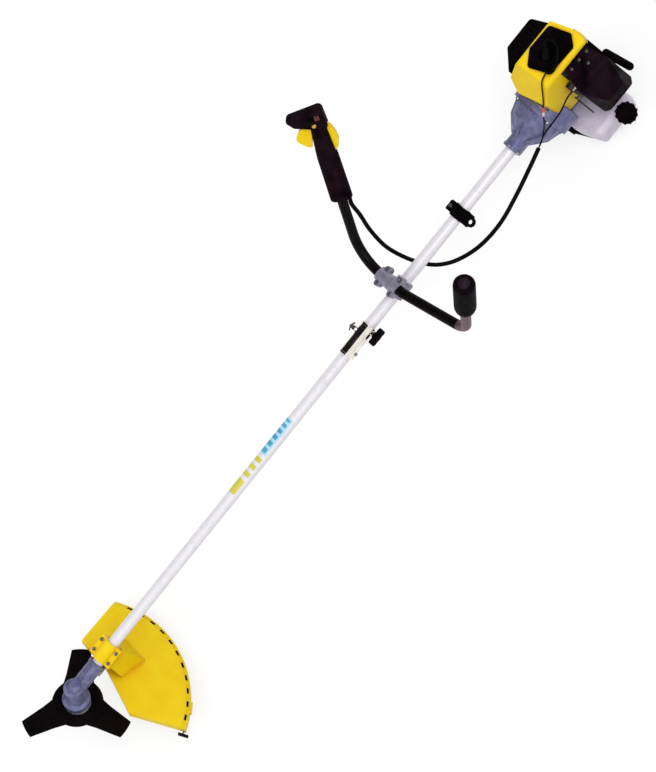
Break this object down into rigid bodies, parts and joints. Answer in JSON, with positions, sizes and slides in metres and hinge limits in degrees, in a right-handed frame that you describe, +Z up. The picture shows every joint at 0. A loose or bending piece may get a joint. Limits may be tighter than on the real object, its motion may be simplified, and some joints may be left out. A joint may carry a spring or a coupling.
{
  "type": "brush cutter",
  "caption": "Petrol brush cutter with a split straight shaft, toothed blade under a guard, bull handlebar with throttle handle, and an engine standing on its tank tray.",
  "frame": {"origin": "centre of the bottom face of the stand under the tank, on the floor", "axes": "+X to the rear along the machine, from blade to engine; +Y to the operator's right; +Z up from the floor"},
  "size_m": [1.9302, 0.5195, 0.4857],
  "materials": {
    "blade_steel": "satin",
    "steel": "satin",
    "gear_steel": "satin",
    "flange_steel": "satin",
    "cast_alloy": "matte",
    "bare_alloy": "satin",
    "tube_alloy": "satin",
    "bush_bronze": "satin",
    "yellow_plastic": "gloss",
    "dark_plastic": "matte",
    "black_plastic": "satin",
    "chrome_sleeve": "gloss",
    "bar_paint": "gloss",
    "grip_rubber": "matte",
    "switch_red": "gloss",
    "button_brass": "satin",
    "cable_rubber": "satin",
    "clutch_iron": "matte",
    "muffler_steel": "matte",
    "bulb_rubber": "satin",
    "choke_plastic": "gloss",
    "pulley_plastic": "satin",
    "tank_plastic": "satin"
  },
  "bodies": {
    "base": {"upper_tube": "tube_alloy", "upper_bushes": "bush_bronze", "bracket_body": "cast_alloy", "bracket_cap": "cast_alloy", "frame_bolts": "steel", "handlebar": "bar_paint", "left_grip": "grip_rubber", "throttle_housing_left": "black_plastic", "throttle_housing_right": "black_plastic", "throttle_cable": "cable_rubber", "harness_clamp": "black_plastic", "clutch_housing": "cast_alloy", "engine_bearings": "steel", "crankcase": "cast_alloy", "engine_cylinder": "bare_alloy", "cylinder_cover": "yellow_plastic", "plug_cover": "black_plastic", "plug_boot": "cable_rubber", "muffler": "muffler_steel", "muffler_cover": "black_plastic", "carburettor": "bare_alloy", "air_filter_base": "dark_plastic", "air_filter_cover": "black_plastic", "starter_housing": "black_plastic", "fuel_tank": "tank_plastic", "tank_stand": "black_plastic"},
    "lower_shaft": {"lower_tube": "tube_alloy", "lower_bushes": "bush_bronze", "gear_case": "cast_alloy", "head_bearings": "steel", "head_bolts": "steel", "guard": "yellow_plastic", "guard_skirt": "dark_plastic", "guard_clamp": "yellow_plastic", "coupler_sleeve": "chrome_sleeve"},
    "lower_drive": {"lower_drive_shaft": "steel", "pinion_gear": "gear_steel"},
    "blade_rotor": {"output_shaft": "steel", "crown_gear": "gear_steel", "upper_flange": "flange_steel", "blade": "blade_steel", "lower_flange": "flange_steel", "blade_nut": "steel"},
    "upper_drive": {"upper_drive_shaft": "steel", "clutch_drum": "gear_steel"},
    "crank": {"crankshaft": "steel", "flywheel": "bare_alloy", "clutch_shoes": "clutch_iron"},
    "coupler_knob": {"coupler_knob": "black_plastic"},
    "coupler_latch": {"coupler_latch": "steel"},
    "throttle_trigger": {"throttle_trigger": "yellow_plastic"},
    "lockout_lever": {"lockout_lever": "yellow_plastic"},
    "stop_switch": {"stop_switch": "switch_red"},
    "throttle_lock_button": {"throttle_lock_button": "button_brass"},
    "carb_lever": {"carb_lever": "button_brass"},
    "primer_bulb": {"primer_bulb": "bulb_rubber"},
    "choke_lever": {"choke_lever": "choke_plastic"},
    "starter_handle": {"starter_handle": "black_plastic"},
    "starter_pulley": {"starter_pulley": "pulley_plastic"},
    "fuel_cap": {"fuel_cap": "black_plastic"}
  },
  "joints": [
    {"name": "lower_shaft_slide", "type": "slide", "parent": "base", "child": "lower_shaft", "axis": [-0.9996, 0, 0.0292], "range_m": [0, 0.08]},
    {"name": "blade_spin", "type": "hinge", "parent": "lower_shaft", "child": "blade_rotor", "pos_m": [-1.65499, 0, 0.19549], "axis": [0.5545, 0, 0.8322], "continuous": true},
    {"name": "lower_drive_spin", "type": "hinge", "parent": "lower_shaft", "child": "lower_drive", "pos_m": [-1.65499, 0, 0.19549], "axis": [0.9996, 0, -0.0292], "continuous": true},
    {"name": "upper_drive_spin", "type": "hinge", "parent": "base", "child": "upper_drive", "pos_m": [-0.4555, 0, 0.16039], "axis": [0.9996, 0, -0.0292], "continuous": true},
    {"name": "crank_spin", "type": "hinge", "parent": "base", "child": "crank", "pos_m": [0.03629, 0, 0.146], "axis": [0.9996, 0, -0.0292], "continuous": true},
    {"name": "coupler_knob_turn", "type": "hinge", "parent": "lower_shaft", "child": "coupler_knob", "pos_m": [-0.63343, -0.025, 0.1656], "axis": [0, -1, 0], "range_deg": [0, 720]},
    {"name": "coupler_latch_pull", "type": "slide", "parent": "lower_shaft", "child": "coupler_latch", "axis": [0.0146, 0.866, 0.4998], "range_m": [0, 0.008], "stiffness_N_per_m": 500, "springref_m": -0.004},
    {"name": "trigger_squeeze", "type": "hinge", "parent": "base", "child": "throttle_trigger", "pos_m": [-0.35373, 0.2509, 0.44999], "axis": [-0.3656, -0.6658, 0.6504], "range_deg": [0, 20], "stiffness_Nm_per_rad": 0.15, "springref_deg": -20.05},
    {"name": "carb_lever_turn", "type": "hinge", "parent": "base", "child": "carb_lever", "pos_m": [0.04912, -0.066, 0.24267], "axis": [-0.0292, 0, -0.9996], "range_deg": [0, 50]},
    {"name": "lockout_press", "type": "hinge", "parent": "base", "child": "lockout_lever", "pos_m": [-0.33377, 0.22778, 0.43754], "axis": [0.3656, 0.6658, -0.6504], "range_deg": [0, 10], "stiffness_Nm_per_rad": 0.15, "springref_deg": -17.19},
    {"name": "stop_switch_slide", "type": "slide", "parent": "base", "child": "stop_switch", "axis": [-0.7587, 0.618, 0.2062], "range_m": [0, 0.009]},
    {"name": "lock_button_press", "type": "slide", "parent": "base", "child": "throttle_lock_button", "axis": [0.3656, 0.6658, -0.6504], "range_m": [0, 0.004], "stiffness_N_per_m": 300, "springref_m": -0.003},
    {"name": "primer_press", "type": "slide", "parent": "base", "child": "primer_bulb", "axis": [0.0292, 0, 0.9996], "range_m": [0, 0.005], "stiffness_N_per_m": 400, "springref_m": -0.003},
    {"name": "choke_turn", "type": "hinge", "parent": "base", "child": "choke_lever", "pos_m": [0.02222, -0.07, 0.21244], "axis": [0.9996, 0, -0.0292], "range_deg": [0, 60]},
    {"name": "starter_pull", "type": "slide", "parent": "base", "child": "starter_handle", "axis": [0.2486, -0.6036, 0.7576], "range_m": [0, 0.1], "stiffness_N_per_m": 15, "springref_m": -0.15},
    {"name": "pulley_turn", "type": "hinge", "parent": "base", "child": "starter_pulley", "pos_m": [0.10226, 0, 0.14407], "axis": [-0.9996, 0, 0.0292], "range_deg": [0, 200]},
    {"name": "fuel_cap_turn", "type": "hinge", "parent": "base", "child": "fuel_cap", "pos_m": [0.04634, -0.1182, 0.07928], "axis": [0.0234, -0.6, 0.7997], "range_deg": [0, 540]}
  ],
  "couplings": [
    {"joint": "lower_drive_spin", "follows": "blade_spin", "ratio": -1.3333},
    {"joint": "upper_drive_spin", "follows": "blade_spin", "ratio": -1.3333},
    {"joint": "carb_lever_turn", "follows": "trigger_squeeze", "ratio": 2.5},
    {"joint": "pulley_turn", "follows": "starter_pull", "rad_per_m": 33.898}
  ]
}
